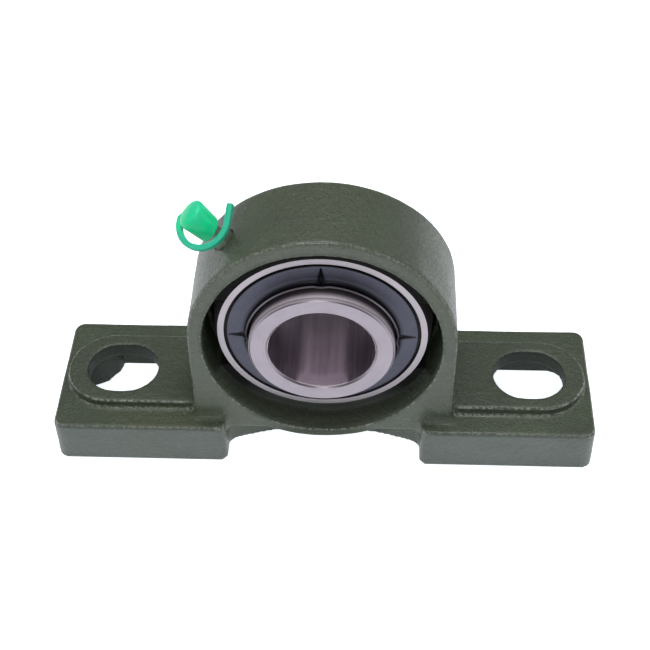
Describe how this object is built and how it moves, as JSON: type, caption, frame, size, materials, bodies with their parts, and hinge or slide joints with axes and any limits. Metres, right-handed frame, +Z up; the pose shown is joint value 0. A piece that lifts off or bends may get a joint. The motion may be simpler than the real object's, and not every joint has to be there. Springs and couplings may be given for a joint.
{
  "type": "pillow block bearing",
  "caption": "Cast pillow block on two slotted feet, holding a self-aligning insert ball bearing with a grease nipple and cap.",
  "frame": {"origin": "on the base plane, midway between the two bolt slots and under the middle of the bearing seat", "axes": "+X along the base from slot to slot, +Y along the shaft towards the set-screw side, +Z up from the mounting surface"},
  "size_m": [0.133, 0.0376, 0.0684],
  "materials": {
    "painted_iron": "dark green paint over sand-cast iron",
    "bearing_steel": "ground and polished",
    "slinger_steel": "slate-blue coated sheet, semi-gloss",
    "seal_rubber": "matt",
    "cage_steel": "pressed strip",
    "black_steel": "black oxide",
    "nipple_brass": "turned",
    "cap_plastic": "moulded, slightly translucent green"
  },
  "bodies": {
    "housing": {"housing": "painted_iron", "grease_nipple": "nipple_brass", "nipple_spring": "cage_steel"},
    "outer": {"outer_ring": "bearing_steel", "seal_front": "seal_rubber", "seal_back": "seal_rubber"},
    "shaft_ring": {"inner_ring": "bearing_steel", "slinger_front": "slinger_steel", "slinger_back": "slinger_steel"},
    "cage": {"cage_front": "cage_steel", "cage_back": "cage_steel", "cage_rivets": "cage_steel", "ball_1": "bearing_steel", "ball_2": "bearing_steel", "ball_3": "bearing_steel", "ball_4": "bearing_steel", "ball_5": "bearing_steel", "ball_6": "bearing_steel", "ball_7": "bearing_steel", "ball_8": "bearing_steel", "ball_9": "bearing_steel"},
    "screw_1": {"set_screw_1": "black_steel"},
    "screw_2": {"set_screw_2": "black_steel"},
    "check_ball": {"nipple_ball": "bearing_steel"},
    "cap": {"nipple_cap": "cap_plastic"}
  },
  "joints": [
    {"name": "self_align", "type": "hinge", "parent": "housing", "child": "outer", "pos_m": [0, 0, 0.0365], "axis": [1, 0, 0], "range_deg": [-2.5, 2.5]},
    {"name": "shaft_spin", "type": "hinge", "parent": "outer", "child": "shaft_ring", "pos_m": [0, 0, 0.0365], "axis": [0, 1, 0], "continuous": true},
    {"name": "cage_spin", "type": "hinge", "parent": "outer", "child": "cage", "pos_m": [0, 0, 0.0365], "axis": [0, 1, 0], "continuous": true},
    {"name": "screw_1_turn_in", "type": "slide", "parent": "shaft_ring", "child": "screw_1", "axis": [0, 0, 1], "range_m": [-0.0003, 0.004]},
    {"name": "screw_2_turn_in", "type": "slide", "parent": "shaft_ring", "child": "screw_2", "axis": [-0.866, 0, -0.5], "range_m": [-0.0003, 0.004]},
    {"name": "check_ball_press", "type": "slide", "parent": "housing", "child": "check_ball", "axis": [0.7071, 0, -0.7071], "range_m": [0, 0.0008], "stiffness_N_per_m": 60, "springref_m": -0.002, "deforming": ["nipple_spring"]},
    {"name": "cap_lift", "type": "slide", "parent": "housing", "child": "cap", "axis": [-0.7071, 0, 0.7071], "range_m": [0, 0.012]}
  ],
  "couplings": [
    {"joint": "cage_spin", "follows": "shaft_spin", "ratio": 0.39823}
  ]
}
